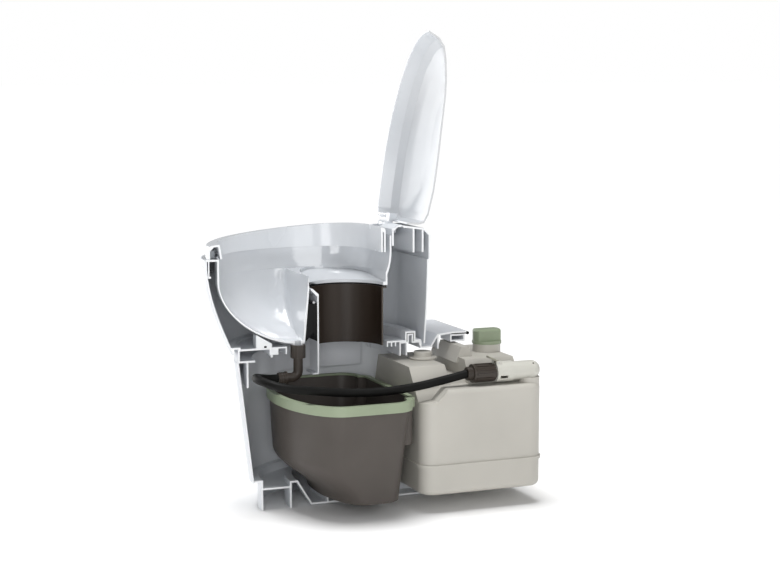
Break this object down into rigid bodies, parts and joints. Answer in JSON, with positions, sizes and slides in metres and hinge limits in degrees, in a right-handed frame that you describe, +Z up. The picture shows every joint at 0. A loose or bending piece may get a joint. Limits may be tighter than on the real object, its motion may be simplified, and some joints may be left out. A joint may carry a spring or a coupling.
{
  "type": "urine-diverting dry toilet",
  "caption": "Free-standing dry toilet in half section: hinged lid and seat, diverting bowl with chute, pull-out solids bin, and a sliding urine tank fed by a hose.",
  "frame": {"origin": "floor level in the section plane, below the middle of the bin", "axes": "+Z up, -Y towards the toilet's front, +X towards the open section side"},
  "size_m": [0.314, 0.5335, 0.7587],
  "materials": {
    "shell_white": "satin white",
    "bowl_white": "gloss white",
    "seat_white": "satin white",
    "inner_white": "matt white",
    "chute_dark": "satin dark brown",
    "seal_black": "matt black",
    "bin_brown": "matt grey brown",
    "rim_green": "matt sage green",
    "tank_beige": "matt warm grey",
    "cap_green": "matt sage green",
    "spout_beige": "matt off-white",
    "fitting_dark": "satin black brown",
    "hose_black": "matt black",
    "pin_steel": "brushed"
  },
  "bodies": {
    "stand": {"upper_housing": "shell_white", "bowl": "bowl_white", "chute": "chute_dark", "chute_seal": "seal_black", "separator_wall": "inner_white", "separator_core": "seal_black", "separator_pin": "pin_steel", "hinge_deck": "shell_white", "hinge_pin": "pin_steel", "collar_ring": "inner_white", "collar_rib": "inner_white", "collar_seal": "seal_black", "front_bracket": "inner_white", "deck_upper": "inner_white", "deck_gasket": "seal_black", "deck_lower": "inner_white", "tail_seal": "seal_black", "tail_block": "inner_white", "base_shell": "shell_white", "base_pan": "shell_white", "hose_connector": "fitting_dark", "hose_ring": "fitting_dark", "drain_nut": "fitting_dark", "drain_elbow": "fitting_dark", "hose": "hose_black"},
    "seat": {"seat": "seat_white", "seat_buffers": "seal_black"},
    "lid": {"lid": "seat_white"},
    "bin": {"solids_bin": "bin_brown", "bin_rim": "rim_green"},
    "tank": {"tank_body": "tank_beige", "spout": "spout_beige", "spout_clip": "spout_beige", "tab_pin": "pin_steel"},
    "fill_cap": {"fill_cap": "cap_green"},
    "vent_cap": {"vent_cap": "tank_beige"},
    "tab": {"coupling_tab": "fitting_dark"}
  },
  "joints": [
    {"name": "lid_hinge", "type": "hinge", "parent": "stand", "child": "lid", "pos_m": [-0.072, 0.108, 0.443], "axis": [-1, 0, 0], "range_deg": [-100.5, 0]},
    {"name": "seat_hinge", "type": "hinge", "parent": "stand", "child": "seat", "pos_m": [-0.072, 0.108, 0.443], "axis": [-1, 0, 0], "range_deg": [0, 97.5]},
    {"name": "tank_slide", "type": "slide", "parent": "stand", "child": "tank", "axis": [0, 1, 0], "range_m": [0, 0.26]},
    {"name": "bin_slide", "type": "slide", "parent": "stand", "child": "bin", "axis": [1, 0, 0], "range_m": [0, 0.33]},
    {"name": "fill_cap_turn", "type": "hinge", "parent": "tank", "child": "fill_cap", "pos_m": [0, 0.26, 0.26], "axis": [0, 0, 1], "range_deg": [0, 360]},
    {"name": "vent_cap_turn", "type": "hinge", "parent": "tank", "child": "vent_cap", "pos_m": [0, 0.145, 0.235], "axis": [0, 0, 1], "range_deg": [0, 90]},
    {"name": "tab_press", "type": "hinge", "parent": "tank", "child": "tab", "pos_m": [0.095, 0.2335, 0.2315], "axis": [1, 0, 0], "range_deg": [0, 12], "stiffness_Nm_per_rad": 0.05}
  ]
}
